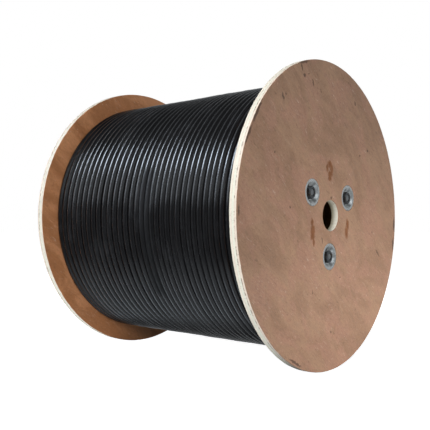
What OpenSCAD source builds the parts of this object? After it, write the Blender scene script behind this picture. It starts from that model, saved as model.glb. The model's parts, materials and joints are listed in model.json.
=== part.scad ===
// Plywood cable drum, wound full of black cable and lying on the rims of its flanges.
// The drum's axis runs along X, and the origin is the middle of that axis. Millimetres.
// Two plywood flanges grip a cardboard core tube between them. Threaded tie rods inside
// the tube pull them together, each with a cup washer and a thin nut sunk in both flanges.

/* [Drum] */
// Diameter of both flanges
flange_d = 350; // [330:5:420]
// Width over the outer faces of the flanges
drum_w = 310; // [250:5:400]
// Thickness of each flange
ply_t = 9; // [8:0.5:18]
// Diameter of the spindle hole through each flange
spindle_d = 35; // [20:1:50]
// Size of the broken edge around each flange
edge_break = 0.6; // [0.2:0.1:1.5]

/* [Core tube] */
// Outer diameter of the core tube
tube_d = 135; // [125:1:180]
// Wall thickness of the core tube
tube_wall = 5; // [3:0.5:6]
// Depth of the groove in each flange that holds the end of the tube
tube_seat = 3; // [1:0.5:3]

/* [Tie rods] */
// Number of tie rods
rod_count = 3; // [2:1:6]
// Diameter of a tie rod
rod_d = 8; // [5:0.5:10]
// Diameter of the circle through the tie rods
rod_circle_d = 93; // [75:1:95]
// Angle of the first tie rod about the drum's axis
rod_turn = 27.3; // [0:0.1:120]
// Depth of the rods' ends below the outer face of a flange
rod_inset = 0.5; // [0.1:0.1:1.5]

/* [Cup washers] */
// Outer diameter of a cup washer
washer_d = 30; // [26:1:36]
// Sheet thickness of a cup washer
washer_t = 1.5; // [1:0.1:2]
// Width of the flat rim around a cup washer
washer_rim = 2; // [1:0.5:3]
// Diameter of the flat seat in the middle of a cup washer
seat_d = 17.5; // [16:0.5:20]
// Depth of the seat below the outer face of the flange
seat_depth = 4.2; // [3:0.1:5]
// Depth of the washer's rim below the outer face of the flange
rim_depth = 0.2; // [0.1:0.1:0.5]

/* [Nuts] */
// Width of a nut across its flats
nut_af = 13; // [10:0.5:14]
// Height of a nut
nut_h = 4; // [3:0.1:4]
// Angle that each next nut is turned on from the last
nut_turn = 17; // [0:1:60]

/* [Cable] */
// Diameter of the cable
cable_d = 7.6; // [5:0.1:10]
// Height of bare flange left outside the winding
freeboard = 21; // [10:1:40]
// Turns that lie side by side from the right flange, in the outer layer
close_turns = 18; // [5:1:22]
// Least spacing of the more open turns that fill the rest of the outer layer
open_pitch = 9; // [8:0.1:12]
// Extra gap between the close turns and the open ones
run_gap = 2; // [0.5:0.5:12]

/* [Fits] */
// Gap between the cable and the core tube
coil_gap = 0.2; // [0.1:0.1:0.8]
// Gap on each side of the tube's wall in its groove
tube_gap = 0.25; // [0.1:0.05:0.8]
// Gap around a rod in its washer and its flange
rod_gap = 0.5; // [0.2:0.1:0.8]
// Gap around the rim and the cone of a washer in its pocket
washer_gap = 0.2; // [0.1:0.1:0.8]

/* [Hidden] */
$fa = 3;
$fs = 0.4;
sides = ["right", "left"];

inner_w = drum_w - 2 * ply_t;
flange_r = flange_d / 2;
tube_r = tube_d / 2;
rod_chamfer = 0.8;
nut_chamfer_angle = 30;
nut_corner_r = nut_af / 2 / cos(30);
cut = 1;

// Radii of the winding
cable_r = cable_d / 2;
coil_bore_r = tube_r + coil_gap;
layer_rise = cable_d * sin(60);
outer_layer_r = flange_r - freeboard - cable_r;
under_layer_top_r = outer_layer_r - layer_rise + cable_r;
groove_floor_r = outer_layer_r + cable_r / 4;
layers = floor((outer_layer_r - coil_bore_r - cable_r) / layer_rise) + 1;

// Places of the turns along the axis, in the outer layer
end_turn_x = inner_w / 2 - cable_r;
close_start_x = end_turn_x - (close_turns - 1) * cable_d;
open_end_x = close_start_x - cable_d - run_gap;
open_span = open_end_x + end_turn_x;
open_steps = floor(open_span / open_pitch);
close_x = [for (i = [0 : close_turns - 1]) end_turn_x - i * cable_d];
open_x = [for (i = [0 : open_steps]) -end_turn_x + i * open_span / open_steps];

wood = [0.62, 0.47, 0.38];
card = [0.55, 0.44, 0.33];
zinc = [0.68, 0.70, 0.72];
dark_zinc = [0.30, 0.31, 0.33];
black = [0.06, 0.06, 0.07];

// Puts its children on the outer face of a flange, with their +Z pointing out of the drum
module on_face(side) {
    mirror([side == "left" ? 1 : 0, 0, 0])
        translate([drum_w / 2, 0, 0])
            rotate([0, 90, 0])
                children();
}

// Moves its children from the drum's axis to the axis of rod i
module on_rod(i) {
    rotate([rod_turn + (i - 1) * 360 / rod_count, 0, 0])
        translate([0, rod_circle_d / 2, 0])
            children();
}

module flange_blank() {
    difference() {
        rotate_extrude()
            polygon([
                [0, 0],
                [flange_r - edge_break, 0],
                [flange_r, -edge_break],
                [flange_r, -ply_t + edge_break],
                [flange_r - edge_break, -ply_t],
                [0, -ply_t]
            ]);
        translate([0, 0, -ply_t - cut])
            cylinder(d = spindle_d, h = ply_t + 2 * cut);
        tube_groove();
    }
}

module tube_groove() {
    translate([0, 0, -ply_t - cut])
        difference() {
            cylinder(r = tube_r + tube_gap, h = tube_seat + cut);
            translate([0, 0, -cut])
                cylinder(r = tube_r - tube_wall - tube_gap, h = tube_seat + 3 * cut);
        }
}

// Room for a cup washer, and the hole for its rod
module washer_pocket() {
    rotate_extrude()
        polygon([
            [0, cut],
            [washer_d / 2 + washer_gap, cut],
            [washer_d / 2 + washer_gap, -rim_depth - washer_t],
            [washer_d / 2 - washer_rim + washer_gap, -rim_depth - washer_t],
            [seat_d / 2 + washer_gap, -seat_depth - washer_t],
            [0, -seat_depth - washer_t]
        ]);
    translate([0, 0, -ply_t - cut])
        cylinder(r = rod_d / 2 + rod_gap, h = ply_t);
}

module flange(side) {
    color(wood)
        difference() {
            on_face(side) flange_blank();
            for (i = [1 : rod_count])
                on_rod(i) on_face(side) washer_pocket();
        }
}

module core_tube() {
    color(card)
        rotate([0, 90, 0])
            difference() {
                cylinder(r = tube_r, h = inner_w + 2 * tube_seat, center = true);
                cylinder(r = tube_r - tube_wall, h = drum_w, center = true);
            }
}

module tie_rod(i) {
    half = drum_w / 2 - rod_inset;
    color(zinc)
        on_rod(i)
            rotate([0, 90, 0])
                rotate_extrude()
                    polygon([
                        [0, half],
                        [rod_d / 2 - rod_chamfer, half],
                        [rod_d / 2, half - rod_chamfer],
                        [rod_d / 2, -half + rod_chamfer],
                        [rod_d / 2 - rod_chamfer, -half],
                        [0, -half]
                    ]);
}

module cup_washer(side, i) {
    color(zinc)
        on_rod(i) on_face(side)
            rotate_extrude()
                polygon([
                    [rod_d / 2 + rod_gap, -seat_depth],
                    [seat_d / 2 - washer_t / 2, -seat_depth],
                    [washer_d / 2 - washer_rim - washer_t / 2, -rim_depth],
                    [washer_d / 2, -rim_depth],
                    [washer_d / 2, -rim_depth - washer_t],
                    [washer_d / 2 - washer_rim, -rim_depth - washer_t],
                    [seat_d / 2, -seat_depth - washer_t],
                    [rod_d / 2 + rod_gap, -seat_depth - washer_t]
                ]);
}

// The outer end of a nut is chamfered, so that only a ring of its end face stays flat
module nut(side, i) {
    ring_r = nut_af / 2 * 0.96;
    fall = (nut_corner_r - ring_r + cut) * tan(nut_chamfer_angle);
    color(dark_zinc)
        on_rod(i) on_face(side)
            translate([0, 0, -seat_depth])
                rotate([0, 0, nut_turn * i])
                    difference() {
                        intersection() {
                            cylinder(r = nut_corner_r, h = nut_h, $fn = 6);
                            rotate_extrude()
                                polygon([
                                    [0, -cut],
                                    [nut_corner_r + cut, -cut],
                                    [nut_corner_r + cut, nut_h - fall],
                                    [ring_r, nut_h],
                                    [0, nut_h]
                                ]);
                        }
                        translate([0, 0, -cut])
                            cylinder(d = rod_d, h = nut_h + 2 * cut);
                    }
}

// Half section of the winding: distance from the axis, then place along the axis
module winding_section() {
    translate([coil_bore_r, -end_turn_x])
        square([under_layer_top_r - coil_bore_r, 2 * end_turn_x]);
    translate([coil_bore_r, close_start_x])
        square([groove_floor_r - coil_bore_r, end_turn_x - close_start_x]);
    for (x = concat(close_x, open_x))
        translate([outer_layer_r, x])
            circle(r = cable_r);
    for (k = [1 : layers - 1], x = [-end_turn_x, end_turn_x])
        translate([outer_layer_r - k * layer_rise, x])
            circle(r = cable_r);
}

module cable() {
    color(black)
        rotate([0, 90, 0])
            rotate_extrude()
                winding_section();
}

flange("right");  // flange_right
flange("left");  // flange_left
core_tube();
cable();
for (i = [1 : rod_count]) {
    tie_rod(i);
    cup_washer("right", i);
    cup_washer("left", i);
    nut("right", i);
    nut("left", i);
}
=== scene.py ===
"""Plywood cable drum wound full of black cable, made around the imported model.

The drum's axis runs along X, with the origin in the middle of it and the floor under the rims.
Everything is in metres. Angles around the drum start at the front (-Y) and grow over the top.
"""

import json
import math

import bpy
import numpy as np
from bpy.props import FloatProperty, FloatVectorProperty, IntProperty, PointerProperty
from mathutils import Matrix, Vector


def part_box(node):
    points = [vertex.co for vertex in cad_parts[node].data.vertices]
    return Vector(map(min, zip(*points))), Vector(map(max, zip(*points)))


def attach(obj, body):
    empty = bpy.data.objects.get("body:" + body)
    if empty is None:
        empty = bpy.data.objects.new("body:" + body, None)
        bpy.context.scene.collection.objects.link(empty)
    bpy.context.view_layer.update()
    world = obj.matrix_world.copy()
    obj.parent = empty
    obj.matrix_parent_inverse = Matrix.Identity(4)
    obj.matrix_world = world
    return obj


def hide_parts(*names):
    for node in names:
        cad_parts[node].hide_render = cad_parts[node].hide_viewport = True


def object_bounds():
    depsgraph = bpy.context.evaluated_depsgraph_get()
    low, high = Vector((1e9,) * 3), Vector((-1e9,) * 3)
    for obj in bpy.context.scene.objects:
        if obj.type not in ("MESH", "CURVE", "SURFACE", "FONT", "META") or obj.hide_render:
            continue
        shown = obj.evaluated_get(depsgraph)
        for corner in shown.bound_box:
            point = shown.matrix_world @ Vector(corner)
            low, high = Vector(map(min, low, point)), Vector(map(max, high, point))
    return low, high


bl_info = {
    "name": "Plywood cable drum",
    "version": (1, 0, 0),
    "blender": (4, 5, 0),
    "location": "View3D > Sidebar > Cable drum",
    "description": "Builds a wound plywood cable drum around its packed model",
    "category": "Object",
}

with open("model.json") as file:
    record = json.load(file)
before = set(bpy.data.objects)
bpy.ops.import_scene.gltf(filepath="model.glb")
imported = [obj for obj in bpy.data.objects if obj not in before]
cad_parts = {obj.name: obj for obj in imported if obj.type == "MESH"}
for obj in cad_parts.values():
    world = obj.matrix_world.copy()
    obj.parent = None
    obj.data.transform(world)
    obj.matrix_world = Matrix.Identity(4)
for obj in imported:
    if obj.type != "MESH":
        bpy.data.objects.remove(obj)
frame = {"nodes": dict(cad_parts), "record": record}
CAD_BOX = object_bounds()

MM = 0.001
TAU = 2 * math.pi
SIDES = {"right": 1, "left": -1}
FLANGE_LOW, FLANGE_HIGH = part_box("flange_right")
TUBE_LOW, TUBE_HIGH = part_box("core_tube")
WINDING_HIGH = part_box("cable")[1]
ROD_BOXES = [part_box(n) for n in sorted(frame["nodes"]) if n.startswith("tie_rod_")]
WASHER_LOW, WASHER_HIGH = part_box("cup_washer_right_1")
NUT_LOW, NUT_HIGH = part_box("nut_right_1")
BORE = next(m for m in frame["record"]["mounts"] if m["name"] == "spindle_bore")


def linear(red, green, blue):
    """Scene-linear colour of a screen colour given from 0 to 255."""
    c = np.array([red, green, blue]) / 255
    return tuple(float(v) for v in np.where(c <= 0.04045, c / 12.92, ((c + 0.055) / 1.055) ** 2.4))


def length(name, description, default):
    """A size in metres that a user can change."""
    return FloatProperty(name=name, description=description, default=default, min=0, unit="LENGTH",
                         precision=5)


def colour(name, description, default):
    """A colour that a user can change."""
    return FloatVectorProperty(name=name, description=description, default=linear(*default),
                               min=0, max=1, size=3, subtype="COLOR")


class DrumSizes(bpy.types.PropertyGroup):
    """Sizes of the drum's pieces"""

    half_width: length("Half width", "From the drum's middle to a flange's outer face", FLANGE_HIGH.x)
    flange_radius: length("Flange radius", "Radius of both flanges", FLANGE_HIGH.z)
    ply: length("Flange thickness", "Thickness of the plywood", FLANGE_HIGH.x - FLANGE_LOW.x)
    spindle_radius: length("Spindle hole radius", "Radius of the hole for the spindle",
                           BORE["dims"]["r_mm"] * MM)
    edge_round: length("Edge rounding", "Radius of the sanded edge of a flange", 0.7 * MM)
    tube_radius: length("Tube radius", "Outer radius of the core tube", TUBE_HIGH.z)
    tube_wall: length("Tube wall", "Wall thickness of the core tube", 5 * MM)
    tube_half: length("Tube half length", "Half the length of the core tube", TUBE_HIGH.x)
    washer_radius: length("Washer radius", "Outer radius of a cup washer",
                          (WASHER_HIGH.z - WASHER_LOW.z) / 2)
    washer_sheet: length("Washer sheet", "Sheet thickness of a cup washer", 1.5 * MM)
    washer_rim: length("Washer rim", "Width of the flat rim of a cup washer", 2 * MM)
    seat_radius: length("Seat radius", "Radius of the flat seat inside a cup washer", 8.75 * MM)
    rim_depth: length("Rim depth", "Depth of a washer's rim below the flange's face",
                      FLANGE_HIGH.x - WASHER_HIGH.x)
    seat_depth: length("Seat depth", "Depth of a washer's seat below the flange's face",
                       FLANGE_HIGH.x - NUT_LOW.x)
    nut_flats: length("Nut across flats", "Width of a nut across its flats", 13 * MM)
    nut_height: length("Nut height", "Height of a nut", NUT_HIGH.x - NUT_LOW.x)
    rod_radius: length("Rod radius", "Radius of a tie rod over its thread",
                       (ROD_BOXES[0][1].z - ROD_BOXES[0][0].z) / 2)
    rod_half: length("Rod half length", "Half the length of a tie rod", ROD_BOXES[0][1].x)
    thread_pitch: length("Thread pitch", "Pitch of the rods' thread", 1.25 * MM)
    cable_radius: length("Cable radius", "Radius of the cable", 3.8 * MM)
    winding_radius: length("Winding radius", "Radius over the outer layer of cable", WINDING_HIGH.z)
    winding_half: length("Winding half width", "Half the width of the winding", WINDING_HIGH.x)
    winding_bore: length("Winding bore", "Radius of the winding's bore", 67.7 * MM)
    close_turns: IntProperty(name="Close turns", description="Turns that lie side by side from the right",
                             default=17, min=2, max=30)
    open_turns: IntProperty(name="Open turns", description="Turns of the more open run on the left",
                            default=14, min=2, max=30)


class DrumColours(bpy.types.PropertyGroup):
    """Colours of the drum's finishes"""

    face: colour("Face veneer", "Brown veneer on the outer faces", (165, 131, 106))
    face_dark: colour("Face veneer, dark", "Darker figure in the outer veneer", (151, 118, 95))
    face_rosy: colour("Face veneer, rosy", "Rosy patches in the outer veneer", (169, 128, 108))
    # The inner pair is a warmer, more saturated copy of the face veneer: painted shade and warm bounce
    # light between the flanges.
    inner: colour("Inner veneer", "Veneer on the faces that turn to the cable", (194, 136, 95))
    inner_dark: colour("Inner veneer, dark", "Darker figure in the inner veneer", (167, 112, 73))
    edge: colour("Ply edge", "Pale core plies that show on the edge", (233, 231, 218))
    edge_rosy: colour("Ply edge, rosy", "Ply under the outer veneer", (236, 222, 208))
    # The spindle hole's wall is bright at the mouth and grey further in: painted shade deeper in the hole.
    hole: colour("Hole wall", "Sanded plies in the spindle hole", (255, 252, 238))
    hole_deep: colour("Hole wall, inside", "Greyed plies further in", (168, 160, 131))
    glue: colour("Glue line", "Glue line between two plies", (128, 104, 82))
    torn: colour("Torn veneer", "Fibre that shows where the veneer is torn", (126, 80, 48))
    # The scuff colour also paints the shadow line along the left rim.
    scuff: colour("Scuff", "Dark scuffs and nicks in the veneer", (80, 60, 49))
    jacket: colour("Cable jacket", "Black jacket of the cable", (17, 17, 19))
    dust: colour("Jacket dust", "Dulled places on the jacket", (40, 41, 44))
    zinc: colour("Zinc plate", "Plating of the cup washers", (216, 217, 216))
    zinc_dull: colour("Dull zinc", "Dulled patches of the plating", (168, 173, 169))
    # The nuts' plate is painted dark as shade and dark reflections in the washers' cups; the rods' plate is
    # darkened the same way for their ends in the nuts.
    dark_zinc: colour("Dark plate", "Plating of the nuts", (92, 95, 98))
    rod: colour("Rod plate", "Plating of the tie rods", (130, 132, 134))
    board: colour("Kraft board", "Board of the core tube", (158, 124, 88))
    floor: colour("Floor", "Pale floor", (244, 244, 245))


# ---------------------------------------------------------------- meshes worked out as arrays

def ripple(turn, seed, low, high, count=8):
    """Wave that closes on itself: the sum of a few cosines of the turn, each with a seeded whole
    number of waves per turn from low to high and a seeded phase, over the root of their number."""
    random = np.random.default_rng(seed)
    waves = random.integers(low, high + 1, count)
    phases = random.uniform(0, TAU, count)
    return np.cos(np.multiply.outer(turn, waves) * TAU + phases).sum(-1) / math.sqrt(count)


def bell(value, centre, half):
    """Bump of height 1 at the centre: e to the power of minus the squared distance in halves."""
    return np.exp(-(((value - centre) / half) ** 2))


def step(value, low, high):
    """Smooth rise from 0 at low to 1 at high: 3 t squared minus 2 t cubed."""
    t = np.clip((value - low) / (high - low), 0, 1)
    return t * t * (3 - 2 * t)


def round_corners(corners, cuts, steps=5):
    """Closed outline with each corner rounded: the curve (1-t)^2 A + 2t(1-t) C + t^2 B, where C
    is the corner, and A and B lie on its two sides at the corner's cut from it."""
    corners = np.asarray(corners, float)
    cuts = np.broadcast_to(np.asarray(cuts, float), len(corners))[:, None]
    before = np.roll(corners, 1, 0) - corners
    after = np.roll(corners, -1, 0) - corners
    start = corners + before / np.linalg.norm(before, axis=1, keepdims=True) * cuts
    end = corners + after / np.linalg.norm(after, axis=1, keepdims=True) * cuts
    t = np.linspace(0, 1, steps)[None, :, None]
    curve = (1 - t) ** 2 * start[:, None] + 2 * t * (1 - t) * corners[:, None] + t ** 2 * end[:, None]
    return curve.reshape(-1, 2)


def faces_of_grid(rows, columns, loop_rows, loop_columns):
    """Four-cornered faces between neighbours on a grid of points numbered row by row."""
    i = np.arange(rows if loop_rows else rows - 1)[:, None]
    j = np.arange(columns if loop_columns else columns - 1)[None, :]
    k, m = (i + 1) % rows, (j + 1) % columns
    return np.stack([i * columns + j, k * columns + j, k * columns + m, i * columns + m], -1).reshape(-1, 4)


def solid(name, grid, loop_rows=True, caps=False, uv=None):
    """Closed shell over a grid of points (rows x columns x 3), whose columns always join up. Its
    rows join up too, or else a cap closes each end as a fan about its middle. The faces are turned
    outwards by the sign of the volume, the sum of a . (b x c) / 6 over its triangles."""
    rows, columns = grid.shape[:2]
    points = grid.reshape(-1, 3)
    quads = faces_of_grid(rows, columns, loop_rows, True)
    fans = np.zeros((0, 3), int)
    if caps:
        ring = np.arange(columns)
        following = (ring + 1) % columns
        last = (rows - 1) * columns
        points = np.vstack([points, grid[0].mean(0), grid[-1].mean(0)])
        first_fan = np.stack([ring, following, np.full(columns, len(points) - 2)], -1)
        last_fan = np.stack([last + following, last + ring, np.full(columns, len(points) - 1)], -1)
        fans = np.vstack([first_fan, last_fan])
    tris = np.vstack([quads[:, [0, 1, 2]], quads[:, [0, 2, 3]], fans])
    a, b, c = (points[tris[:, n]] for n in range(3))
    if np.einsum("ij,ij->", a, np.cross(b, c)) < 0:
        quads, fans = quads[:, ::-1], fans[:, ::-1]
    mesh = bpy.data.meshes.new(name)
    corners = np.concatenate([quads.ravel(), fans.ravel()])
    sizes = np.concatenate([np.full(len(quads), 4), np.full(len(fans), 3)])
    mesh.vertices.add(len(points))
    mesh.vertices.foreach_set("co", points.astype(np.float32).ravel())
    mesh.loops.add(len(corners))
    mesh.loops.foreach_set("vertex_index", corners.astype(np.int32))
    mesh.polygons.add(len(sizes))
    mesh.polygons.foreach_set("loop_start", (np.cumsum(sizes) - sizes).astype(np.int32))
    mesh.update(calc_edges=True)
    if uv is not None:
        along, around = uv
        flat = np.stack(np.meshgrid(along, around, indexing="ij"), -1)
        row, column = np.divmod(quads, columns)
        row = np.where((row == 0) & (row.max(1, keepdims=True) == rows - 1) & loop_rows, rows, row)
        column = np.where((column == 0) & (column.max(1, keepdims=True) == columns - 1), columns, column)
        places = flat[np.minimum(row, len(along) - 1), column].reshape(-1, 2)
        places = np.vstack([places, np.zeros((fans.size, 2))])
        layer = mesh.uv_layers.new(name="lay")
        layer.data.foreach_set("uv", places.astype(np.float32).ravel())
    made = bpy.data.objects.new(name, mesh)
    bpy.context.scene.collection.objects.link(made)
    return made


def soften(made, sharp=38):
    """Smooth shading, with the edges that bend by more than sharp degrees kept crisp."""
    made.data.shade_smooth()
    made.data.set_sharp_from_angle(angle=math.radians(sharp))
    return made


def turned(outline, angles, shift=0.0):
    """Surface of an outline (distance from the axis, place along X) carried round the X axis:
    the point (x, -r cos a, r sin a) for each angle a. shift is taken off r, point by point."""
    outline = np.asarray(outline, float)
    radius = outline[None, :, 0] - shift
    x = np.broadcast_to(outline[None, :, 1], (len(angles), len(outline)))
    radius = np.broadcast_to(radius, x.shape)
    a = angles[:, None]
    return np.stack([x, -radius * np.cos(a), radius * np.sin(a)], -1)


def round_angles(count):
    """Evenly spaced angles once round, without the last."""
    return np.arange(count) / count * TAU


def sink(made, cutter):
    """Cuts the cutter's shape out of the piece, keeps the result as the piece's own mesh."""
    cut = made.modifiers.new("pockets", "BOOLEAN")
    cut.operation, cut.object, cut.solver = "DIFFERENCE", cutter, "EXACT"
    shapes = bpy.context.evaluated_depsgraph_get()
    mesh = bpy.data.meshes.new_from_object(made.evaluated_get(shapes))
    made.modifiers.clear()
    old, made.data = made.data, mesh
    mesh.name = made.name
    bpy.data.meshes.remove(old)
    bpy.data.meshes.remove(cutter.data)
    return made


def settle(made, node, material):
    """Gives a piece its finish, hangs it under the root body, and hides the frame's node that it stands
    for.
    """
    made.data.materials.clear()
    made.data.materials.append(material)
    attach(made, "root")
    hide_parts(node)
    return made


# ---------------------------------------------------------------- flanges

TUBE_GAP = 0.25 * MM  # on each side of the tube's wall, in its groove
CHIPS = 26  # along each arris of a flange


def flange(side, sizes):
    """Round plywood board, an outline carried round the axis. The outline runs across the outer
    face, down the edge, back over the inner face with the groove for the tube, and through the
    spindle hole. The edge is r = radius - saw ripple - glue-line furrows - small chips."""
    sign = SIDES[side]
    r, t, hole, soft = sizes.flange_radius, sizes.ply, sizes.spindle_radius, sizes.edge_round
    groove_out = sizes.tube_radius + TUBE_GAP
    groove_in = sizes.tube_radius - sizes.tube_wall - TUBE_GAP
    groove_floor = sizes.half_width - sizes.tube_half
    scale = r / 175
    rings_out = np.array([19.5, 30, 60, 100, 140, 165, 172]) * scale
    rings_in = np.array([172, 165, 150, 110, 75]) * scale
    bend = np.linspace(0, math.pi / 2, 6)
    furrows = np.array([t / 3, t * 2 / 3])
    fine = (furrows[:, None] + np.array([-0.32, -0.14, 0, 0.14, 0.32]) * MM).ravel()
    plain = np.array([1.0, 1.6, 2.2, 4.0, 4.9, 7.1, 7.8]) * MM
    edge_depths = np.sort(np.concatenate([fine, plain]))
    hole_soft = 0.6 * MM
    parts = [
        np.stack([hole + hole_soft * (1 - np.cos(bend)), hole_soft * (1 - np.sin(bend))], -1),
        np.stack([rings_out, np.zeros_like(rings_out)], -1),
        np.stack([r - 1.6 * soft, 0.0])[None],
        np.stack([r - soft * (1 - np.sin(bend)), soft * (1 - np.cos(bend))], -1),
        np.stack([np.full(len(edge_depths), r), edge_depths], -1),
        np.stack([r - soft * (1 - np.cos(bend)), t - soft * (1 - np.sin(bend))], -1),
        np.stack([r - 1.6 * soft, t])[None],
        np.stack([rings_in, np.full_like(rings_in, t)], -1),
        np.array([[groove_out, t], [groove_out, groove_floor],
                  [groove_in, groove_floor], [groove_in, t]]),
        np.stack([np.array([50, 30, 19.5]) * MM, np.full(3, t)], -1),
        np.stack([hole + hole_soft * (1 - np.sin(bend)), t - hole_soft * (1 - np.cos(bend))], -1),
        np.stack([np.full(5, hole), np.linspace(t - 1.6 * MM, 1.6 * MM, 5)], -1),
    ]
    outline = np.vstack(parts)
    angles = round_angles(900)
    turn = angles / TAU
    depth, radius = outline[:, 1], outline[:, 0]
    on_edge = step(radius, r - 1.2 * soft, r - 0.2 * soft)
    seed = 11 if side == "right" else 23
    saw = 0.07 * MM * (1 + ripple(turn, seed, 5, 40)) + 0.02 * MM * ripple(turn, seed + 1, 90, 200)
    broken = [np.clip(0.5 + 0.8 * ripple(turn, seed + 2 + n, 8, 90), 0, 1) for n in range(len(furrows))]
    furrow = 0.22 * MM * sum(np.outer(b, bell(depth, f, 0.13 * MM)) for b, f in zip(broken, furrows))
    random = np.random.default_rng(seed + 5)
    chips = 0
    for edge_depth in (0, t):
        places = random.uniform(0, 1, CHIPS)
        deep = random.uniform(0.15, 0.7, CHIPS) * MM
        wide = random.uniform(0.0006, 0.0016, CHIPS)
        apart = (turn[:, None] - places + 0.5) % 1 - 0.5
        chips = chips + np.outer((deep * bell(apart, 0, wide)).sum(-1), bell(depth, edge_depth, 0.9 * MM))
    shift = (np.abs(saw)[:, None] + furrow + chips) * on_edge
    on_hole = 1 - step(radius, hole, hole + 0.5 * MM)
    shift = shift + on_hole * (0.05 * MM * ripple(turn, seed + 6, 6, 30) - 0.06 * MM)[:, None]
    outline[:, 1] = sign * (sizes.half_width - depth)
    return solid(f"plywood_{side}", turned(outline, angles, shift))


WASHER_GAP = 0.2 * MM  # around a cup washer in its pocket
ROD_GAP = 0.5 * MM  # around a rod in its washer and its flange


def rod_place(number):
    """Middle of a rod's axis across the drum, along Y and Z."""
    low, high = ROD_BOXES[number - 1]
    return np.array([(low.y + high.y) / 2, (low.z + high.z) / 2])


def pocket_cutters(side, sizes):
    """Three stepped cones, one for each tie rod: the room for a cup washer and the rod's hole.
    Each is an outline carried round the rod's own axis, y = rod y - r cos a, z = rod z + r sin a."""
    sign = SIDES[side]
    rim, hole = sizes.washer_radius + WASHER_GAP, sizes.rod_radius + ROD_GAP
    bottom = sizes.rim_depth + sizes.washer_sheet
    seat = sizes.seat_depth + sizes.washer_sheet
    outline = np.array([
        [rim + 0.9 * MM, -0.6 * MM], [rim + 0.3 * MM, 0], [rim, 0.35 * MM], [rim, bottom],
        [rim - sizes.washer_rim, bottom], [sizes.seat_radius + WASHER_GAP, seat],
        [hole, seat], [hole, sizes.ply + 1 * MM],
    ])
    outline[:, 1] = sign * (sizes.half_width - outline[:, 1])
    cone = turned(outline, round_angles(72)).transpose(1, 0, 2)
    return [solid(f"cutter_{side}_{n}", cone + [0, *rod_place(n)], loop_rows=False, caps=True)
            for n in range(1, len(ROD_BOXES) + 1)]


# ---------------------------------------------------------------- core tube

def core_tube(sizes):
    """Spirally wound board tube: a ring outline carried round the axis, where the seams of the
    outer and inner strip run as helices, each a bell-shaped furrow about frac(x / lead + turn)."""
    r, wall, half = sizes.tube_radius, sizes.tube_wall, sizes.tube_half
    across = 150
    x = np.linspace(-half + 0.5 * MM, half - 0.5 * MM, across)
    outer = np.stack([np.full(across, r), x], -1)
    inner = np.stack([np.full(across, r - wall), x[::-1]], -1)
    ends = np.array([[r - 0.5 * MM, half], [r - wall + 0.5 * MM, half]])
    outline = np.vstack([outer, ends, inner, ends[::-1] * [1, -1]])
    angles = round_angles(180)
    turn = angles[:, None] / TAU
    lead = 96 * MM
    apart = (outline[:, 1] / lead + turn + 0.5) % 1 - 0.5
    furrow = 0.22 * MM * bell(apart, 0, 0.012) * (np.abs(outline[:, 1]) < half - 0.4 * MM)
    shift = np.where(outline[:, 0] > r - wall / 2, furrow, -furrow)
    return solid("kraft_tube", turned(outline, angles, shift))


# ---------------------------------------------------------------- cable

ANCHOR = math.radians(20)  # the angle where the outer turns are counted and placed
RUN_IN, RUN_OUT = -0.35, 0.75  # where the cable starts and stops, in turns from its first and last place
SLACK = 0.25 * MM  # by which the outer layer keeps inside the winding's radius


def lay(sizes):
    """Places along X of the outer turns, as they cross the front at the anchor angle: the close
    run steps by one diameter, four turns open up, and the open run shares what is left."""
    end = sizes.winding_half - sizes.cable_radius
    close = end - 2 * sizes.cable_radius * np.arange(sizes.close_turns)
    opening = close[-1] - np.array([7.8, 16.0, 24.3, 33.3]) * MM
    open_run = np.linspace(opening[-1] - 9.3 * MM, -end, sizes.open_turns)
    return np.concatenate([close, opening, open_run])


def route(wound, sizes):
    """Angle, radius and place along X of the outer layer's middle line after a number of turns.
    x is read between the turns' places, r is the outer layer's, and both carry slow seeded waves
    of a few tenths of a millimetre. Both ends dive below the outer layer."""
    places = lay(sizes)
    last = len(places) - 1
    outer = sizes.winding_radius - sizes.cable_radius - SLACK
    angle = ANCHOR - wound * TAU
    x = np.interp(wound, np.arange(last + 1), places)
    wave = wound / (last + 2)
    radius = outer - 0.35 * MM * step(wound, sizes.close_turns + 0.5, sizes.close_turns + 3)
    radius = radius + 0.20 * MM * np.clip(ripple(wave, 31, 20, 150, 12), -1.6, 1.2)
    free = step(wound, 0.3, 1.5) * (1 - step(wound, last - 1.5, last - 0.3))
    x = x + 0.26 * MM * np.clip(ripple(wave, 37, 15, 120, 12), -1.6, 1.6) * free
    ends = np.maximum(step(-wound, -0.2, -RUN_IN), step(wound, last + 0.2, last + RUN_OUT))
    return angle, radius - 1.6 * sizes.cable_radius * ends, x


def outer_layer(sizes):
    """Outer layer of cable as one tube: a circle carried along the route, with the point
    c + q (cos v n + sin v b), where n points away from the drum's axis and b across the cable.
    q is the cable's radius, and near both ends it shrinks along a quarter circle."""
    count = len(lay(sizes))
    per_turn = 110
    wound = np.linspace(RUN_IN, count - 1 + RUN_OUT, int((count + 0.1) * per_turn))
    angle, radius, x = route(wound, sizes)
    middle = np.stack([x, -radius * np.cos(angle), radius * np.sin(angle)], -1)
    along = np.gradient(middle, axis=0)
    along /= np.linalg.norm(along, axis=1, keepdims=True)
    away = np.stack([np.zeros_like(x), -np.cos(angle), np.sin(angle)], -1)
    away -= (away * along).sum(1, keepdims=True) * along
    away /= np.linalg.norm(away, axis=1, keepdims=True)
    across = np.cross(along, away)
    run = np.concatenate([[0], np.cumsum(np.linalg.norm(np.diff(middle, axis=0), axis=1))])
    nearest = np.minimum(run, run[-1] - run)
    short = 1 - np.clip(nearest / (1.6 * sizes.cable_radius), 0, 1)
    closing = np.sqrt(np.clip(1 - short ** 2, 0.02, 1))
    sides = 14
    v = round_angles(sides)[None, :, None]
    q = (sizes.cable_radius * closing)[:, None, None]
    grid = middle[:, None] + q * (np.cos(v) * away[:, None] + np.sin(v) * across[:, None])
    around = np.arange(sides + 1) / sides * TAU * sizes.cable_radius
    return solid("cable_outer_layer", grid, loop_rows=False, caps=True, uv=(run, around))


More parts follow.
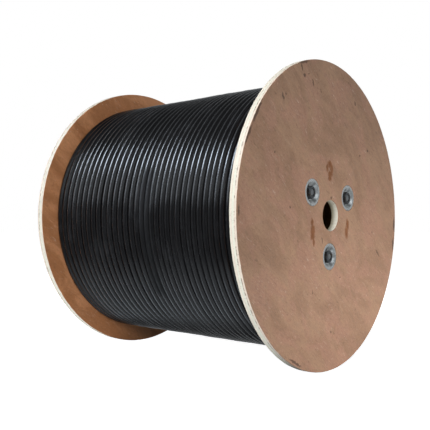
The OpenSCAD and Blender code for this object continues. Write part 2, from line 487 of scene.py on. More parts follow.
def inner_layers(sizes):
    """Body of the winding below its outer layer, with the bore: an outline carried round the axis.
    Outside it is the layer below, r = c + sqrt(q^2 - x^2) about each groove of the outer layer.
    On the ends the layers' end turns stand out as x = c + sqrt(q^2 - r^2). It gives way to the
    outer turns: its r stays below their middle line's r less sqrt(q^2 - x^2)."""
    q = sizes.cable_radius
    rise = 2 * q * math.sin(math.radians(60))
    places = lay(sizes)
    grooves = (places[1:] + places[:-1]) / 2
    top = sizes.winding_radius - q - SLACK - rise
    end = sizes.winding_half - q
    x = np.linspace(-end + 0.3 * MM, end - 0.3 * MM, 330)
    near = np.abs(x[:, None] - grooves).min(1)
    skin = top + np.sqrt(np.clip(q * q - near ** 2, (0.25 * q) ** 2, None))
    layers = int((top + rise - sizes.winding_bore - q) / rise)
    across = np.linspace(sizes.winding_bore + 0.5 * MM, top, layers * 7)
    middles = top - rise * np.arange(layers)
    off = np.abs(across[:, None] - middles).min(1)
    bulge = end + np.sqrt(np.clip(q * q - off ** 2, (0.2 * q) ** 2, None)) - 0.15 * MM
    right = np.stack([across, bulge], -1)[::-1]
    left = np.stack([across, -bulge], -1)
    bore = np.stack([np.full(6, sizes.winding_bore), np.linspace(end, -end, 6)], -1)
    outline = np.vstack([np.stack([skin, x], -1), right, bore, left])
    angles = round_angles(160)
    shift = np.zeros((len(angles), len(outline)))
    turn = (ANCHOR - angles) / TAU % 1
    wound = turn[:, None] + np.arange(-1, len(places) + 1)[None, :]
    _, radius, place = route(wound, sizes)
    for k in range(wound.shape[1]):
        here = (wound[:, k] >= RUN_IN) & (wound[:, k] <= len(places) - 1 + RUN_OUT)
        apart = np.abs(x[None, :] - place[:, k, None])
        under = radius[:, k, None] - np.sqrt(np.clip(q * q - apart ** 2, 0, None)) - 0.05 * MM
        dig = np.where((apart < q) & here[:, None], skin[None, :] - under, 0)
        shift[:, :len(x)] = np.maximum(shift[:, :len(x)], dig)
    return solid("cable_inner_layers", turned(outline, angles, shift))


# ---------------------------------------------------------------- hardware

def cup_washer(side, number, sizes):
    """Dished washer: its bent sheet as an outline with rounded corners, carried round the rod's
    axis, with a slight waver of the rim from the pressing, deeper by 0.06 mm (1 + cos 3a)."""
    rim, sheet, flat = sizes.washer_radius, sizes.washer_sheet, sizes.washer_rim
    top, seat, hole = sizes.rim_depth, sizes.seat_depth, sizes.rod_radius + ROD_GAP
    corners = np.array([
        [hole, seat], [sizes.seat_radius - sheet / 2, seat], [rim - flat - sheet / 2, top],
        [rim, top], [rim, top + sheet], [rim - flat, top + sheet], [sizes.seat_radius, seat + sheet],
        [hole, seat + sheet],
    ])
    cuts = np.array([0.25, 1.1, 0.8, 0.35, 0.35, 0.6, 0.8, 0.25]) * MM
    outline = round_corners(corners, cuts, 7)
    angles = round_angles(96)
    waver = 0.06 * MM * (1 + np.cos(3 * angles + number))
    depth = outline[:, 1] + waver[:, None] * step(outline[:, 0], rim - flat, rim)
    grid = turned(outline, angles)
    grid[..., 0] = SIDES[side] * (sizes.half_width - depth)
    grid[..., 1:] += rod_place(number)
    return solid(f"pressed_cup_{side}_{number}", grid)


NUT_TURN = 17  # degrees that each next nut is turned on from the last
CRISPNESS = 60  # power p that rounds a nut's corners: the higher, the sharper


def nut(side, number, sizes):
    """Hex nut with a rounded, chamfered outer end. At each angle the outside is
    r = (sum of c^p)^(-1/p), where c is cos(a - face angle) / half the flats for each of the six
    faces, and one over the chamfer cone's radius. The bore is countersunk at its outer end."""
    half, tall, bore = sizes.nut_flats / 2, sizes.nut_height, sizes.rod_radius
    angles = round_angles(144)
    turn = math.radians(NUT_TURN * number)
    facing = np.cos(angles[:, None] - turn - np.arange(6) * TAU / 6 - TAU / 12)
    rise = np.array([0, 0.03, 0.3, 0.55, 0.68, 0.76, 0.83, 0.89, 0.94, 0.975, 1.0]) * tall
    cone = half * 0.98 + (tall - rise) / math.tan(math.radians(30))
    flats = np.clip(facing / half, 0, None)[:, None, :] ** CRISPNESS
    outside = (flats.sum(-1) + (1 / cone)[None, :] ** CRISPNESS) ** (-1 / CRISPNESS)
    outside[:, 0] -= 0.15 * MM
    top_in = np.array([0.75, 0.4, 0.12])
    face_r = bore * 1.06 + (outside[:, -1:] - bore * 1.06) * top_in
    bottom_r = bore * 1.02 + (outside[:, :1] - bore * 1.02) * top_in[::-1]
    thread = np.array([1.05, 1.0, 1.0, 1.0, 1.015]) * bore
    thread_rise = np.array([1.0, 0.88, 0.5, 0.12, 0.0]) * tall
    count = len(angles)
    radius = np.hstack([outside, face_r, np.tile(thread, (count, 1)), bottom_r])
    dish = 0.04 * MM * np.array([0.0, 0.3, 1.0])
    height = np.concatenate([rise, tall - dish, thread_rise, np.zeros(3)])
    x = SIDES[side] * (sizes.half_width - sizes.seat_depth + np.tile(height, (count, 1)))
    y, z = rod_place(number)
    grid = np.stack([x, y - radius * np.cos(angles)[:, None], z + radius * np.sin(angles)[:, None]], -1)
    return solid(f"hex_nut_{side}_{number}", grid)


def tie_rod(number, sizes):
    """Rod with a rolled thread at each end: r = crest - depth (1 - |2 frac(x / pitch - turn) - 1|)
    clipped flat on the crests, fading into a plain shank, with chamfered and slightly domed ends."""
    half, crest, pitch = sizes.rod_half, sizes.rod_radius - 0.03 * MM, sizes.thread_pitch
    crests = 26
    threaded = crests * pitch
    close = np.linspace(0, threaded, crests * 7 + 1)
    x = np.concatenate([-half + close, np.linspace(-half + threaded, half - threaded, 9)[1:-1],
                        half - close[::-1]])
    angles = round_angles(32)
    phase = (x[:, None] / pitch - angles[None, :] / TAU) % 1
    wave = np.clip(1.25 * np.abs(2 * phase - 1), 0, 1)
    inside = half - np.abs(x)[:, None]
    amount = step(threaded - inside, 0, 2 * pitch)
    radius = crest - 0.62 * MM * ((1 - wave) * amount + 0.5 * (1 - amount))
    radius = np.minimum(radius, crest - 0.75 * MM * (1 - step(inside, -0.4 * MM, 0.9 * MM)))
    grid = np.stack([np.broadcast_to(x[:, None], radius.shape), -radius * np.cos(angles),
                     radius * np.sin(angles)], -1)
    small = [1, 0.6, 0.6]
    grid = np.concatenate([grid[:1] * small, grid, grid[-1:] * small])
    grid[[1, -2], :, 0] *= (half - 0.12 * MM) / half
    grid[..., 1:] += rod_place(number)
    return solid(f"threaded_rod_{number}", grid, loop_rows=False, caps=True)


# ---------------------------------------------------------------- finishes

class Finish:
    """A node material in the making. Each method adds a node and returns the output it feeds on."""

    def __init__(self, name):
        self.material = bpy.data.materials.new(name)
        self.material.use_nodes = True
        self.tree = self.material.node_tree
        self.shader = self.tree.nodes["Principled BSDF"]

    def feed(self, socket, value):
        """Links an output to a socket, or sets the socket's own number or colour."""
        if isinstance(value, bpy.types.NodeSocket):
            self.tree.links.new(value, socket)
        elif isinstance(value, (tuple, list)) and socket.type == "RGBA":
            socket.default_value = (*value, 1)
        else:
            socket.default_value = value

    def add(self, kind, inputs, output=0, **settings):
        """Any node, with its settings, its inputs by name or number, and one output."""
        node = self.tree.nodes.new("ShaderNode" + kind)
        for name, value in settings.items():
            setattr(node, name, value)
        for key, value in inputs.items():
            self.feed(node.inputs[key], value)
        return node.outputs[output]

    def place(self):
        """Where a point is in the frame, in metres."""
        return self.add("TexCoord", {}, "Object")

    def stretched(self, vector, size, turn=0.0, centre=(0, 0, 0)):
        """Vector about a centre, turned back about X, and measured in sizes along X, Y and Z."""
        return self.add("Mapping", {"Vector": vector, "Location": centre, "Rotation": (turn, 0, 0),
                                    "Scale": size}, vector_type="TEXTURE")

    def noise(self, vector, scale=1.0, detail=3.0, rough=0.55, bend=0.0):
        """Noise from 0 to 1 that varies about every 1 / scale."""
        return self.add("TexNoise", {"Vector": vector, "Scale": scale, "Detail": detail,
                                     "Roughness": rough, "Distortion": bend})

    def math(self, operation, first, second=0.0):
        """Arithmetic on two numbers."""
        return self.add("Math", {0: first, 1: second}, operation=operation)

    def span(self, value, low, high, to_low=0.0, to_high=1.0):
        """Smooth step of a value from one range to another."""
        return self.add("MapRange", {"Value": value, "From Min": low, "From Max": high,
                                     "To Min": to_low, "To Max": to_high},
                        interpolation_type="SMOOTHSTEP")

    def ramp(self, value, stops):
        """Colour read from stops, each a place from 0 to 1 and a colour."""
        node = self.tree.nodes.new("ShaderNodeValToRGB")
        elements = node.color_ramp.elements
        for element, (at, tint) in zip((elements[0], elements[1]), (stops[0], stops[-1])):
            element.position, element.color = at, (*tint, 1)
        for at, tint in stops[1:-1]:
            elements.new(at).color = (*tint, 1)
        self.feed(node.inputs[0], value)
        return node.outputs["Color"]

    def mix(self, factor, first, second, blend="MIX"):
        """Blend of two colours."""
        return self.add("Mix", {0: factor, 6: first, 7: second}, 2, data_type="RGBA", blend_type=blend)

    def shade(self, tint, value, low, high):
        """Colour times a grey that goes from low to high with a value."""
        grey = self.span(value, 0.25, 0.75, low, high)
        return self.mix(1.0, tint, self.add("CombineColor", {0: grey, 1: grey, 2: grey}), "MULTIPLY")

    def warped(self, vector, scale, reach):
        """Vector shifted by up to half the reach each way, by a noise of its own for each axis."""
        shift = self.add("TexNoise", {"Vector": vector, "Scale": scale, "Detail": 3.0}, "Color")
        shift = self.add("VectorMath", {0: shift, 1: (0.5, 0.5, 0.5)}, operation="SUBTRACT")
        return self.add("VectorMath", {0: shift, 1: (reach, reach, reach), 2: vector},
                        operation="MULTIPLY_ADD")

    def blots(self, vector, shapes):
        """Soft oval patches on the right flange's outer face, up to 3 mm deep. Each shape is a turn
        in degrees, two half sizes in millimetres, and its patches: place along Y and Z, and a
        scale."""
        whole, deep = 0.0, 3 * MM
        for turn, wide, tall, patches in shapes:
            angle = math.radians(turn)
            c, s = math.cos(angle), math.sin(angle)
            local = self.stretched(vector, (deep, wide * MM, tall * MM), angle)
            for y, z, scale in patches:
                centre = (FLANGE_HIGH.x / deep, (y * c + z * s) / wide, (z * c - y * s) / tall)
                distance = self.add("VectorMath", {0: local, 1: centre}, "Value", operation="DISTANCE")
                patch = self.span(distance, 1.20 * scale, 0.55 * scale)
                whole = self.math("MAXIMUM", patch, whole)
        return whole

    def bump(self, height, strength, distance, below=None):
        """Normal tilted by a height, on top of another bump."""
        inputs = {"Height": height, "Strength": strength, "Distance": distance}
        if below is not None:
            inputs["Normal"] = below
        return self.add("Bump", inputs)

    def finish(self, inputs):
        """Feeds the shader by socket name: outputs are linked, plain numbers set on its own sockets."""
        for name, value in inputs.items():
            self.feed(self.shader.inputs[name], value)
        return self.material


GRAIN = -36.0  # degrees by which the veneer's grain is turned about X
TORN = (  # bare fibre where the veneer has come away
    (0, 4.2, 3.4, ((-1.6, 58.2, 1.35), (-0.6, 47.0, 1.25), (-2.0, 42.4, 1.0), (-39.6, -23.6, 1.15))),
    (4, 3.2, 6.0, ((2.8, 53.0, 1.1), (-7.8, 54.0, 0.85), (-40.4, -8.4, 0.95), (-39.2, -17.2, 1.5),
                   (-37.4, -29.4, 0.75), (39.8, -10.2, 1.25), (37.4, -19.4, 1.35))),
)
SCUFFS_AND_EDGE_SHADOW = (  # dark scuffs, nicks and pores, and a painted shadow line along the left rim
    (16, 11.5, 1.9, ((-56.7, 164.2, 1.0),)),
    (-28, 15.0, 1.4, ((-75.6, -153.8, 1.0),)),
    (24, 1.7, 5.0, ((-60.4, 157.6, 0.85), (-38.2, 145.0, 0.8), (-97.0, 121.4, 0.9), (60.4, 136.5, 0.7),
                    (-19.2, -28.0, 0.7), (-39.8, -83.9, 0.6), (-20.5, 139.0, 0.5))),
    (0, 2.4, 2.2, ((-55.2, 150.0, 1.0), (-46.6, 153.0, 0.6), (-92.0, 124.5, 0.6), (93.1, 81.8, 0.9),
                   (21.3, -71.3, 0.6), (-0.2, -131.6, 0.7), (1.6, 19.9, 0.9),
                   (72.0, 74.0, 0.6), (-112.0, 63.0, 0.6), (105.0, -20.0, 0.55), (-84.0, 8.0, 0.6))),
    (50, 1.4, 6.5, ((120.4, -46.4, 1.0),)),
    (-4, 1.8, 6.5, ((-171.0, 3.2, 0.8), (171.2, -9.4, 1.6), (167.6, -36.5, 1.4))),
    # Painted shadow: a dark line along the left edge of the outer face, where it meets the rim.
    (-31, 1.7, 14.0, ((-141.6, 99.8, 1.2), (-156.2, 75.9, 1.0))),
)


def sanded_plywood(sizes, tints):
    """Plywood: brown rotary-cut veneer on both faces, with flecked diagonal grain, and pale core
    plies with broken glue lines on the edge. The depth below the outer face picks the ply. The faces
    turned to the cable take a warmer copy of the veneer as painted shade and bounce light, the
    spindle hole's wall turns grey deeper in as painted shade, and a painted shadow line runs along
    the left rim of the outer face."""
    f = Finish("sanded_plywood")
    place = f.place()
    x = f.add("SeparateXYZ", {0: place}, "X")
    depth = f.math("DIVIDE", f.math("SUBTRACT", sizes.half_width, f.math("ABSOLUTE", x)), sizes.ply)
    outer = f.span(depth, 0.065, 0.035)
    inner = f.span(depth, 0.945, 0.970)
    turn = math.radians(GRAIN)
    patches = f.noise(f.stretched(place, (0.05, 0.075, 0.035), turn), 1, 4, 0.6, 0.6)
    rosy = f.noise(f.stretched(place, (0.05, 0.045, 0.028), turn, (0.3, 0.1, 0.2)), 1, 4, 0.65, 0.8)
    figure = f.noise(f.stretched(place, (0.02, 0.016, 0.0046), turn, (0.1, 0.3, 0)), 1, 5, 0.65, 1.4)
    fibre = f.noise(f.stretched(place, (0.004, 0.009, 0.0005), turn), 1, 3, 0.6, 0.3)
    fleck = f.noise(f.stretched(place, (0.004, 0.0085, 0.0021), turn, (0, 0.1, 0.3)), 1, 3, 0.6, 1.5)
    pore = f.noise(f.stretched(place, (0.004, 0.0030, 0.0005), turn, (0, 0.4, 0.1)), 1, 2, 0.5)
    speck = f.noise(place, 700, 2, 0.6)

    veneer = f.mix(f.span(patches, 0.38, 0.62), tints["face_dark"], tints["face"])
    veneer = f.mix(f.span(rosy, 0.44, 0.62, 0, 0.60), veneer, tints["face_rosy"])
    # Painted shade and bounce light: the faces turned to the cable take the warmer inner copy of the
    # veneer.
    back = f.mix(f.span(patches, 0.40, 0.60), tints["inner_dark"], tints["inner"])
    wood = f.mix(inner, veneer, back)
    wood = f.shade(wood, figure, 0.90, 1.08)
    wood = f.shade(wood, fibre, 0.94, 1.05)
    wood = f.shade(wood, speck, 0.92, 1.08)
    dark_fleck = f.span(fleck, 0.57, 0.70, 0, 0.55)
    light_fleck = f.math("MULTIPLY", f.span(fleck, 0.40, 0.27, 0, 0.62),
                         f.span(rosy, 0.40, 0.60, 0.30, 1.0))
    wood = f.mix(dark_fleck, wood, f.shade(wood, 0.0, 0.55, 1.0))
    wood = f.mix(light_fleck, wood, f.mix(0.5, wood, tints["edge_rosy"]))
    wood = f.mix(f.span(pore, 0.68, 0.78, 0, 0.4), wood, f.shade(wood, 0.0, 0.5, 1.0))

    ragged = f.warped(place, 260, 4.5 * MM)
    torn = f.blots(ragged, TORN)
    fibres = f.span(f.noise(f.stretched(place, (0.01, 0.0010, 0.008)), 1, 2), 0.3, 0.7, 0.75, 1.25)
    bare = f.mix(1.0, tints["torn"], f.add("CombineColor", {0: fibres, 1: fibres, 2: fibres}), "MULTIPLY")
    wood = f.mix(f.math("MULTIPLY", torn, 0.95), wood, bare)
    # Dark scuffs and nicks, together with the painted shadow line along the left rim.
    scuffs_and_edge_shadow = f.blots(ragged, SCUFFS_AND_EDGE_SHADOW)
    wood = f.mix(f.math("MULTIPLY", scuffs_and_edge_shadow, 0.80), wood, tints["scuff"])

    waver = f.math("MULTIPLY", f.math("SUBTRACT", f.noise(place, 45, 3), 0.5), 0.05)
    level = f.math("ADD", depth, waver)
    plies = f.ramp(level, (
        (0.05, tints["edge_rosy"]), (0.30, tints["edge_rosy"]), (0.36, tints["edge"]),
        (0.64, tints["edge"]), (0.70, tints["edge_rosy"]), (0.95, tints["edge"])))
    broken = f.span(f.noise(place, 150, 3, 0.7), 0.50, 0.60)
    near_glue = f.span(f.math("ABSOLUTE", f.math("SUBTRACT", level, 0.31)), 0.060, 0.025)
    far_glue = f.span(f.math("ABSOLUTE", f.math("SUBTRACT", level, 0.667)), 0.028, 0.010, 0, 0.3)
    glue = f.math("MULTIPLY", f.math("MAXIMUM", near_glue, far_glue), f.math("ADD", 0.12, broken))
    plies = f.shade(plies, f.noise(place, 160, 4, 0.7), 0.93, 1.04)
    pits = f.span(f.noise(place, 620, 3, 0.7), 0.60, 0.70, 0, 0.5)
    plies = f.mix(pits, plies, tints["glue"])
    plies = f.mix(f.math("MULTIPLY", glue, 0.9), plies, tints["glue"])
    across = f.add("VectorMath", {0: place, 1: (0, 1, 1)}, operation="MULTIPLY")
    across = f.add("VectorMath", {0: across}, "Value", operation="LENGTH")
    # Painted shade: the hole's wall goes from bright at the mouth to grey deeper in.
    wall = f.mix(f.span(level, 0.25, 0.95), tints["hole"], tints["hole_deep"])
    plies = f.mix(f.span(across, 24 * MM, 20 * MM, 0, 0.75), plies, wall)
    faces = f.math("MAXIMUM", outer, inner)
    skin = f.mix(faces, plies, wood)

    height = f.math("ADD", f.math("MULTIPLY", fibre, 0.6), f.math("MULTIPLY", speck, 0.4))
    height = f.math("SUBTRACT", height, f.math("MULTIPLY", f.span(pore, 0.62, 0.74), 0.8))
    height = f.math("SUBTRACT", height, f.math("MULTIPLY", f.math("MAXIMUM", torn, scuffs_and_edge_shadow), 1.6))
    height = f.math("SUBTRACT", height, f.math("MULTIPLY", f.math("MAXIMUM", pits, glue), 0.6))
    rough = f.span(figure, 0.3, 0.7, 0.56, 0.74)
    return f.finish({"Base Color": skin, "Roughness": rough, "Normal": f.bump(height, 0.5, 0.12 * MM),
                     "Specular IOR Level": 0.35})


def black_jacket(tints):
    """Glossy black jacket: faint lengthwise scuffs and dulled places, a fine peel in the skin, and
    two turns rubbed matt on the front of the drum."""
    f = Finish("black_jacket")
    place = f.place()
    x, y, z = (f.add("SeparateXYZ", {0: place}, axis) for axis in "XYZ")
    run = f.add("UVMap", {}, uv_map="lay")
    scuff = f.noise(f.stretched(run, (0.035, 0.0011, 1)), 1, 3, 0.6)
    dulled = f.noise(place, 22, 3, 0.6)
    peel = f.noise(place, 1500, 2)
    twist = f.noise(f.stretched(run, (0.030, 0.012, 1)), 1, 1)
    marks = f.span(f.math("MULTIPLY", scuff, f.math("ADD", 0.45, dulled)), 0.52, 0.72)
    rubbed = f.math("MULTIPLY", f.span(x, 0.0 * MM, 4 * MM), f.span(x, 21 * MM, 17 * MM))
    rubbed = f.math("MULTIPLY", rubbed, f.math("MULTIPLY", f.span(z, -102 * MM, -80 * MM),
                                               f.span(z, 58 * MM, 46 * MM)))
    rubbed = f.math("MULTIPLY", rubbed, f.span(y, 0, -20 * MM))
    rubbed = f.math("MULTIPLY", rubbed, f.span(dulled, 0.2, 0.5, 0.6, 1.0))
    tint = f.mix(f.math("MAXIMUM", f.math("MULTIPLY", marks, 0.6), f.math("MULTIPLY", rubbed, 0.3)),
                 tints["jacket"], tints["dust"])
    tint = f.shade(tint, dulled, 0.8, 1.25)
    rough = f.math("ADD", f.span(dulled, 0.3, 0.7, 0.19, 0.28), f.math("MULTIPLY", marks, 0.14))
    rough = f.math("ADD", rough, f.math("MULTIPLY", rubbed, 0.22))
    normal = f.bump(peel, 0.06, 0.05 * MM, f.bump(twist, 0.25, 0.25 * MM))
    return f.finish({"Base Color": tint, "Roughness": rough, "Normal": normal, "IOR": 1.5,
                     "Specular IOR Level": f.span(rubbed, 0, 1, 0.5, 0.24)})


def under_jacket(tints):
    """The same jacket deeper in the winding, dull with dust."""
    f = Finish("under_jacket")
    place = f.place()
    dulled = f.noise(place, 30, 4, 0.6)
    tint = f.mix(f.span(dulled, 0.35, 0.7, 0, 0.5), tints["jacket"], tints["dust"])
    return f.finish({"Base Color": f.shade(tint, dulled, 0.7, 1.1),
                     "Roughness": f.span(dulled, 0.3, 0.7, 0.32, 0.5),
                     "Normal": f.bump(f.noise(place, 1500, 2), 0.12, 0.05 * MM), "IOR": 1.5})


def plated(name, bright, dull, low, high, grain, tumble=0.25):
    """Plated steel: bright metal clouded by duller patches, fine scratches and a lightly pitted skin."""
    f = Finish(name)
    place = f.place()
    cloud = f.noise(place, 170, 4, 0.65, 0.4)
    scratch = f.noise(f.stretched(place, (0.0004, 0.006, 0.0005), 0.5), 1, 3, 0.6)
    spot = f.noise(place, grain, 2, 0.6)
    tint = f.mix(f.span(cloud, 0.44, 0.72), bright, dull)
    tint = f.shade(tint, spot, 0.86, 1.08)
    rough = f.math("ADD", f.span(cloud, 0.3, 0.7, low, high), f.span(scratch, 0.55, 0.75, 0, 0.10))
    height = f.math("ADD", f.math("MULTIPLY", spot, 0.7), f.math("MULTIPLY", scratch, 0.3))
    return f.finish({"Base Color": tint, "Roughness": rough, "Normal": f.bump(height, tumble, 0.06 * MM),
                     "Metallic": 1.0})


def kraft_board(tints):
    """Wound kraft board: fibres, faint cross bands along the strip and a dusty, rough skin."""
    f = Finish("kraft_board")
    place = f.place()
    cloud = f.noise(place, 35, 4, 0.6)
    fibre = f.noise(f.stretched(place, (0.006, 0.0012, 0.0012), 0.2), 1, 4, 0.7)
    tint = f.shade(tints["board"], cloud, 0.82, 1.14)
    tint = f.shade(tint, fibre, 0.86, 1.12)
    return f.finish({"Base Color": tint, "Roughness": f.span(fibre, 0.3, 0.7, 0.72, 0.9),
                     "Normal": f.bump(fibre, 0.4, 0.2 * MM)})


def pale_floor(tints):
    """Pale matt floor that fades into the backdrop with distance from the drum."""
    f = Finish("pale_floor")
    place = f.place()
    distance = f.add("VectorMath", {0: place}, "Value", operation="LENGTH")
    cloud = f.noise(place, 3, 3)
    far = f.span(distance, 0.35, 1.6)
    tint = f.shade(tints["floor"], cloud, 0.985, 1.0)
    glow = f.ramp(far, ((0.0, (0.97, 0.97, 0.97)), (1.0, (1.0, 1.0, 1.0))))
    return f.finish({"Base Color": f.mix(far, tint, (0.0, 0.0, 0.0)), "Emission Color": glow,
                     "Emission Strength": 1.0, "Roughness": 0.6, "Specular IOR Level": 0.1})


def white_paper():
    """Matt white paper under the drum, that bounces the light and also glows faintly as a light from below;
    both fade to dark towards its edge.
    """
    f = Finish("white_paper")
    place = f.place()
    local = f.stretched(place, (0.34, 0.20, 1), 0.0, (-0.08, -0.23, CAD_BOX[0].z))
    far = f.span(f.add("VectorMath", {0: local}, "Value", operation="LENGTH"), 0.65, 1.05)
    near = f.shade((0.92, 0.93, 0.94), f.noise(place, 12, 3), 0.97, 1.0)
    return f.finish({"Base Color": f.mix(far, near, (0.12, 0.12, 0.12)), "Roughness": 0.8,
                     "Emission Color": f.mix(far, (0.9, 0.95, 1.0), (0.0, 0.0, 0.0)),
                     "Emission Strength": 0.30, "Specular IOR Level": 0.1})


def black_card():
    """Matt black card that keeps light off the drum's underside."""
    f = Finish("black_card")
    grey = f.shade((0.015, 0.015, 0.016), f.noise(f.place(), 90, 3), 0.8, 1.2)
    return f.finish({"Base Color": grey, "Roughness": 0.9, "Specular IOR Level": 0.1})


def white_backdrop():
    """Evenly bright backdrop."""
    f = Finish("white_backdrop")
    return f.finish({"Base Color": (0.0, 0.0, 0.0), "Emission Color": (1.0, 1.0, 1.0),
                     "Emission Strength": 1.0, "Specular IOR Level": 0.0, "Roughness": 1.0})


def tints_of(context):
    """All the finishes' colours by name."""
    colours = context.scene.drum_colours
    return {name: tuple(getattr(colours, name)) for name in DrumColours.__annotations__}


# ---------------------------------------------------------------- operators

class DRUM_OT_flanges(bpy.types.Operator):
    """Builds both plywood flanges"""

    bl_idname = "drum.flanges"
    bl_label = "Flanges"

    def execute(self, context):
        sizes = context.scene.drum_sizes
        plywood = sanded_plywood(sizes, tints_of(context))
        for side in SIDES:
            board = flange(side, sizes)
            for cutter in pocket_cutters(side, sizes):
                sink(board, cutter)
            settle(soften(board, 32), f"flange_{side}", plywood)
        return {"FINISHED"}


class DRUM_OT_core_tube(bpy.types.Operator):
    """Builds the board tube that carries the winding"""

    bl_idname = "drum.core_tube"
    bl_label = "Core tube"

    def execute(self, context):
        sizes = context.scene.drum_sizes
        settle(soften(core_tube(sizes)), "core_tube", kraft_board(tints_of(context)))
        return {"FINISHED"}


class DRUM_OT_cable(bpy.types.Operator):
    """Builds the wound cable: its outer layer turn by turn, and the layers below"""

    bl_idname = "drum.cable"
    bl_label = "Cable"

    def execute(self, context):
        sizes, tints = context.scene.drum_sizes, tints_of(context)
        settle(soften(outer_layer(sizes), 60), "cable", black_jacket(tints))
        settle(soften(inner_layers(sizes), 60), "cable", under_jacket(tints))
        return {"FINISHED"}


class DRUM_OT_fasteners(bpy.types.Operator):
    """Builds the tie rods with their cup washers and nuts"""

    bl_idname = "drum.fasteners"
    bl_label = "Rods, washers and nuts"

    def execute(self, context):
        sizes, tints = context.scene.drum_sizes, tints_of(context)
        cup = plated("zinc_washer", tints["zinc"], tints["zinc_dull"], 0.24, 0.36, 900, 0.16)
        # Painted shade: the nuts, and less so the rods, are darker than the washers, standing for the shade
        # and dark reflections in the cups.
        dark = plated("dark_nut", tints["dark_zinc"], tints["scuff"], 0.26, 0.42, 1400)
        thread = plated("zinc_rod", tints["rod"], tints["zinc_dull"], 0.26, 0.40, 1400)
        for number in range(1, len(ROD_BOXES) + 1):
            settle(soften(tie_rod(number, sizes), 50), f"tie_rod_{number}", thread)
            for side in SIDES:
                settle(soften(cup_washer(side, number, sizes)), f"cup_washer_{side}_{number}", cup)
                settle(soften(nut(side, number, sizes), 30), f"nut_{side}_{number}", dark)
        return {"FINISHED"}


def aim(item, eye, target):
    """Puts a camera or light at the eye, looking at the target."""
    item.location = eye
    item.rotation_euler = (Vector(target) - Vector(eye)).to_track_quat("-Z", "Y").to_euler()


def soft_light(name, eye, target, wide, tall, power, tint, spared):
    """Rectangular studio light that the camera doesn't see, and that spares the diffuse or the
    glossy part of every finish."""
    data = bpy.data.lights.new(name, "AREA")
    data.shape, data.size, data.size_y = "RECTANGLE", wide, tall
    data.energy, data.color = power, tint
    lamp = bpy.data.objects.new(name, data)
    bpy.context.scene.collection.objects.link(lamp)
    aim(lamp, eye, target)
    hide_from(lamp, "camera", spared)


def hide_from(item, *rays):
    """Hides an object from kinds of light ray, such as camera, diffuse, glossy or shadow."""
    for ray in rays:
        setattr(item, "visible_" + ray, False)


def round_sheet(name, middle, across, up, radii, back, material):
    """Thin round sheet: the points m + r (u cos a + v sin a) for each ring's radius r, where u and
    v lie in the sheet, and the same points again behind them."""
    a = round_angles(96)
    u, v = np.array(across), np.array(up)
    front = middle + radii[:, None, None] * (np.cos(a)[:, None] * u + np.sin(a)[:, None] * v)
    made = solid(name, np.concatenate([front, front[::-1] + back]))
    made.data.materials.append(material)
    return made


def dome(name, radius, material):
    """Almost closed ball: the point r (cos b cos a, cos b sin a, sin b), with b from -88 to 88
    degrees, and a cap on either end."""
    a = round_angles(96)
    b = np.linspace(-0.49, 0.49, 40) * math.pi
    grid = np.stack([np.outer(np.cos(b), np.cos(a)), np.outer(np.cos(b), np.sin(a)),
                     np.repeat(np.sin(b)[:, None], len(a), 1)], -1)
    made = solid(name, radius * grid, loop_rows=False, caps=True)
    made.data.materials.append(material)
    return made


LIGHTS = (  # name, place, what it looks at, width, height, power, colour, and what it leaves alone
    ("window", (-1.15, -0.67, 0.91), (0, 0, 0), 1.1, 0.33, 18.5, (0.74, 0.85, 1.0), "diffuse"),
    ("low_panel", (-1.02, -1.12, 0.48), (0, 0, 0), 0.90, 0.50, 3.4, (0.80, 0.88, 1.0), "diffuse"),
    ("front_fill", (0.40, -1.27, 0.60), (0.10, 0, -0.06), 0.8, 0.45, 15.0, (1.0, 0.98, 0.94), "glossy"),
    ("low_card", (0.37, 0.095, CAD_BOX[0].z + 0.028), (0.155, 0.065, -0.11), 0.41, 0.14, 0.73,
     (1.0, 0.97, 0.94), "glossy"),
    ("back_fill", (-1.25, 0.60, 0.45), (0, 0, 0), 0.8, 0.6, 7.5, (1.0, 0.99, 0.97), "glossy"),
    ("under_strip", (-0.94, -0.20, -1.12), (0, 0, 0), 1.3, 0.2, 1.45, (0.72, 0.86, 1.0), "diffuse"),
)
REACH = 12.0  # radius of the floor
RINGS = np.array([0.001, 0.3, 0.6, 1.2, 2.4, 5.0, REACH])  # radii of the floor's rings
SKY = (  # brightness of the studio by direction, from -1 (0) to +1 (1) along each axis
    ("X", ((0.0, 0.06), (0.16, 0.23), (0.22, 0.23), (0.34, 0.06), (0.84, 0.08), (0.92, 0.36), (1.0, 0.30))),
    ("Y", ((0.0, 0.0), (0.70, 0.0), (0.84, 0.35), (1.0, 0.45))),
    ("Z", ((0.0, 0.52), (0.17, 0.52), (0.25, 0.0), (0.58, 0.0), (0.66, 0.68), (0.80, 0.68), (0.89, 0.0),
           (1.0, 0.0))),
)
SKY_FRONT = ("Y", ((0.0, 1.0), (0.52, 1.0), (0.66, 0.0), (1.0, 0.0)))
COOL = np.array([0.96, 1.0, 1.03])  # tint of the studio's grey


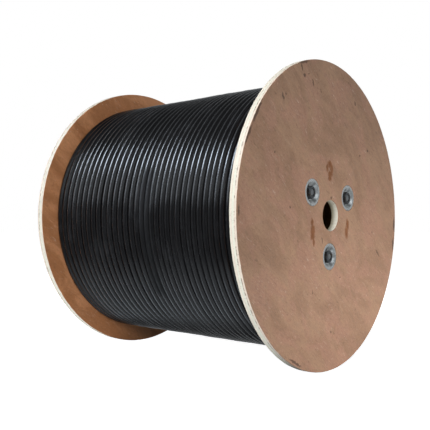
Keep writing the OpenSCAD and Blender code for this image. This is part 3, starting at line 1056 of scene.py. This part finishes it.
def studio_sky():
    """World with a band to the left, a glow behind the drum, and in front of it a pale band
    above and another below. It is the sum of the levels along X and Y, and of the level along Z
    times the front's."""
    world = bpy.data.worlds.new("studio")
    world.use_nodes = True
    nodes, links = world.node_tree.nodes, world.node_tree.links
    split = nodes.new("ShaderNodeSeparateXYZ")
    links.new(nodes.new("ShaderNodeTexCoord").outputs["Generated"], split.inputs[0])

    def level(axis, stops):
        """Grey, a little cool, read from stops by the direction's part along one axis."""
        place = nodes.new("ShaderNodeMapRange")
        place.inputs["From Min"].default_value = -1.0
        ramp = nodes.new("ShaderNodeValToRGB")
        links.new(split.outputs[axis], place.inputs["Value"])
        links.new(place.outputs[0], ramp.inputs[0])
        elements = ramp.color_ramp.elements
        elements[0].color = (*(stops[0][1] * COOL), 1)
        elements[1].color = (*(stops[-1][1] * COOL), 1)
        for at, grey in stops[1:-1]:
            elements.new(at).color = (*(grey * COOL), 1)
        return ramp.outputs[0]

    def join(blend, first, second):
        """Sum or product of two greys."""
        both = nodes.new("ShaderNodeMix")
        both.data_type, both.blend_type = "RGBA", blend
        both.inputs[0].default_value = 1.0
        links.new(first, both.inputs[6])
        links.new(second, both.inputs[7])
        return both.outputs[2]

    left, behind, bands = (level(*part) for part in SKY)
    whole = join("ADD", join("ADD", left, behind), join("MULTIPLY", bands, level(*SKY_FRONT)))
    links.new(whole, nodes["Background"].inputs["Color"])
    return world


class DRUM_OT_stage(bpy.types.Operator):
    """Sets the pale floor, the backdrop, the studio light and the camera"""

    bl_idname = "drum.stage"
    bl_label = "Stage"

    def execute(self, context):
        scene, tints = context.scene, tints_of(context)
        ground = CAD_BOX[0].z
        x, y, z = np.eye(3)
        floor = round_sheet("floor", ground * z, x, y, RINGS, -0.02 * z, pale_floor(tints))
        hide_from(floor, "diffuse", "glossy", "shadow")
        backdrop = dome("backdrop", 0.95 * REACH, white_backdrop())
        hide_from(backdrop, "diffuse", "glossy", "shadow", "transmission")
        # The paper is hidden from the camera and glows faintly: a soft light from below.
        paper = round_sheet("paper", (ground + 0.1 * MM) * z, x, y, RINGS * 0.5 / REACH, -0.05 * MM * z,
                            white_paper())
        hide_from(paper, "camera", "shadow", "glossy")
        flag = round_sheet("flag", (0.05, 0.14, ground - 0.06), 0.20 * y, 0.13 * z, RINGS / REACH,
                           1 * MM * x, black_card())
        hide_from(flag, "camera", "glossy")
        for light in LIGHTS:
            soft_light(*light)
        scene.world = studio_sky()

        data = bpy.data.cameras.new("camera")
        camera = bpy.data.objects.new("camera", data)
        scene.collection.objects.link(camera)
        data.sensor_width, data.lens = 36.0, 52.79
        azimuth, elevation = math.radians(39.63), math.radians(-0.76)
        distance = 4.714 * FLANGE_HIGH.z
        level = math.cos(elevation)
        way = Vector((math.sin(azimuth) * level, -math.cos(azimuth) * level, math.sin(elevation)))
        target = Vector((-0.1 * FLANGE_HIGH.x, 0, 0.0126 * FLANGE_HIGH.z))
        aim(camera, target + way * distance, target)
        data.clip_start, data.clip_end = 0.01, 60
        scene.camera = camera
        scene.view_settings.view_transform = "Standard"
        return {"FINISHED"}


class DRUM_PT_sidebar(bpy.types.Panel):
    """Sizes, colours and building steps of the cable drum"""

    bl_idname = "DRUM_PT_sidebar"
    bl_label = "Cable drum"
    bl_space_type = "VIEW_3D"
    bl_region_type = "UI"
    bl_category = "Cable drum"

    def draw(self, context):
        for group in (context.scene.drum_sizes, context.scene.drum_colours):
            box = self.layout.box()
            for name in group.__annotations__:
                box.prop(group, name)
        for step_class in STEPS:
            self.layout.operator(step_class.bl_idname)


STEPS = (DRUM_OT_stage, DRUM_OT_flanges, DRUM_OT_core_tube, DRUM_OT_cable, DRUM_OT_fasteners)
CLASSES = (DrumSizes, DrumColours, *STEPS, DRUM_PT_sidebar)


def register():
    """Adds the drum's classes and settings to Blender"""
    for one in CLASSES:
        bpy.utils.register_class(one)
    bpy.types.Scene.drum_sizes = PointerProperty(type=DrumSizes)
    bpy.types.Scene.drum_colours = PointerProperty(type=DrumColours)


def unregister():
    """Takes the drum's classes and settings out of Blender"""
    del bpy.types.Scene.drum_colours
    del bpy.types.Scene.drum_sizes
    for one in reversed(CLASSES):
        bpy.utils.unregister_class(one)


def main():
    """Builds the drum and its stage."""
    register()
    for one in STEPS:
        group, action = one.bl_idname.split(".")
        getattr(getattr(bpy.ops, group), action)()


if __name__ == "__main__":
    main()
